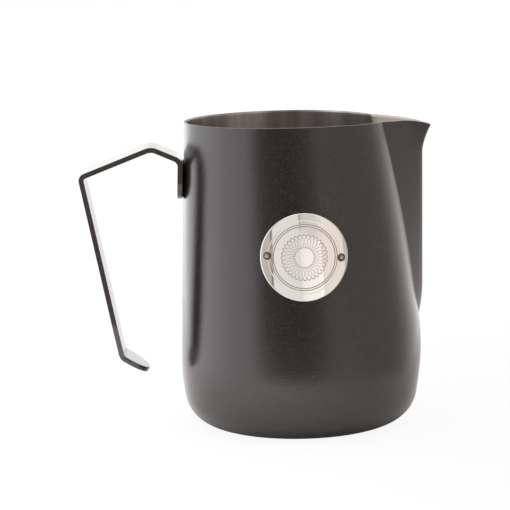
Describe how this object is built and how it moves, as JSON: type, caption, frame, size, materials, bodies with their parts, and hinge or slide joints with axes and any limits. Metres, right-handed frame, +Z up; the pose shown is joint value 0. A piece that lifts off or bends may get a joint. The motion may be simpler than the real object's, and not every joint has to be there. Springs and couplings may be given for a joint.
{
  "type": "milk frothing pitcher",
  "caption": "Open steel milk pitcher with a tapered wall, a pressed pouring spout, a bent strap handle and a round badge plate.",
  "frame": {"origin": "on the vessel's axis, at the underside of the flat base", "axes": "+Z up along the vessel's axis, +X towards the spout, handle at -X, badge facing -Y"},
  "size_m": [0.1265, 0.0864, 0.11],
  "materials": {
    "coated_body": "satin dark grey coat over stainless steel",
    "coated_strap": "satin dark grey coat over stainless steel",
    "badge": "polished stainless steel",
    "rivet": "polished stainless steel"
  },
  "bodies": {
    "root": {"pitcher_body": "coated_body", "handle_strap": "coated_strap", "badge_plate": "badge", "badge_rivet_left": "rivet", "badge_rivet_right": "rivet"}
  },
  "joints": []
}
